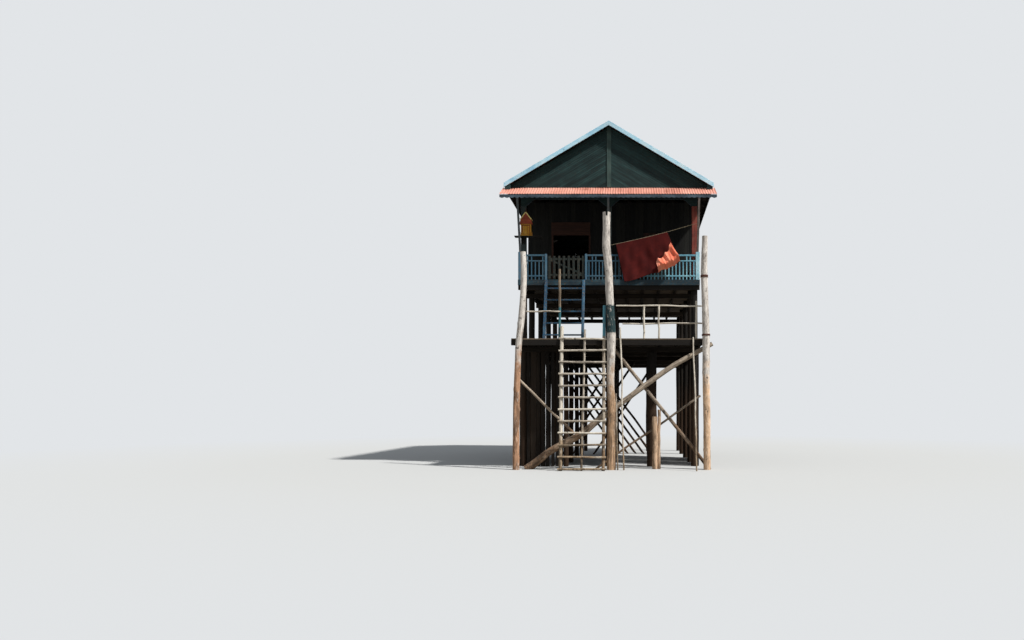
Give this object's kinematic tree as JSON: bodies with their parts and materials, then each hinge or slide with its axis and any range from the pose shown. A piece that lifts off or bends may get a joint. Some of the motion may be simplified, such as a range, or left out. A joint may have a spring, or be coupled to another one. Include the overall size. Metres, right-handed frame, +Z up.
{
  "type": "wooden stilt house",
  "caption": "Wooden stilt house with a gabled room and a railed veranda over a lower platform on tall stilts and braces, a pole ladder and a hinged picket gate.",
  "frame": {"origin": "foot of the middle post in the middle row, on the ground", "axes": "+X across the house to the right as seen from the front, +Y from the front to the back, +Z up"},
  "size_m": [6.42, 11.3929, 10.4197],
  "materials": {
    "dark_timber": "rough, weathered dark",
    "bare_pole": "rough, weathered grey above and brown near the water",
    "floor_boards": "rough sawn, worn",
    "blue_paint": "faded matt paint",
    "gate_paint": "bare and weathered",
    "steel": "rusted",
    "red_brown_paint": "faded matt paint",
    "wall_boards": "rough, dark",
    "brown_panel": "matt paint",
    "rusty_sheet": "corrugated, rusted",
    "pale_blue_paint": "faded matt paint",
    "gable_boards": "faded dark green paint",
    "salmon_sheet": "corrugated, faded salmon paint",
    "valance_paint": "faded blue-grey paint",
    "prop_paint": "faded blue-grey paint",
    "gold_paint": "gloss paint",
    "red_cloth": "thin cloth",
    "cord": "thin line"
  },
  "bodies": {
    "house": {"stilts": "dark_timber", "inner_stilts": "dark_timber", "left_log": "bare_pole", "centre_log": "bare_pole", "right_log": "bare_pole", "long_brace": "bare_pole", "cross_braces": "bare_pole", "thin_poles": "bare_pole", "rear_braces": "dark_timber", "plank_screens": "dark_timber", "platform_beams": "dark_timber", "platform_joists": "dark_timber", "platform_deck": "floor_boards", "platform_rails": "bare_pole", "ladder_stiles": "bare_pole", "ladder_rungs": "bare_pole", "upper_ladder_stiles": "blue_paint", "upper_ladder_treads": "blue_paint", "floor_beams": "dark_timber", "floor_joists": "dark_timber", "floor_deck": "floor_boards", "edge_beam": "blue_paint", "front_balustrade": "blue_paint", "side_balustrades": "blue_paint", "rail_posts": "blue_paint", "hinge_pins": "steel", "veranda_posts": "red_brown_paint", "room_posts": "dark_timber", "front_wall": "wall_boards", "door_surround": "brown_panel", "side_walls": "wall_boards", "back_wall": "wall_boards", "shutters": "brown_panel", "tie_beams": "dark_timber", "wall_plates": "dark_timber", "rafters": "dark_timber", "purlins": "dark_timber", "roof_sheets": "rusty_sheet", "ridge_cap": "rusty_sheet", "bargeboards": "pale_blue_paint", "gables": "gable_boards", "gable_strip": "gable_boards", "veranda_fascia": "gable_boards", "pent_roof": "salmon_sheet", "pent_frame": "dark_timber", "pent_valance": "valance_paint", "eave_props": "prop_paint", "shrine": "gold_paint", "shrine_shelf": "blue_paint", "sunshade": "red_cloth", "sunshade_line": "cord"},
    "gate": {"gate": "gate_paint"}
  },
  "joints": [
    {"name": "gate_hinge", "type": "hinge", "parent": "house", "child": "gate", "pos_m": [-0.736, -4.304, 5.805], "axis": [0, 0, -1], "range_deg": [0, 90]}
  ]
}
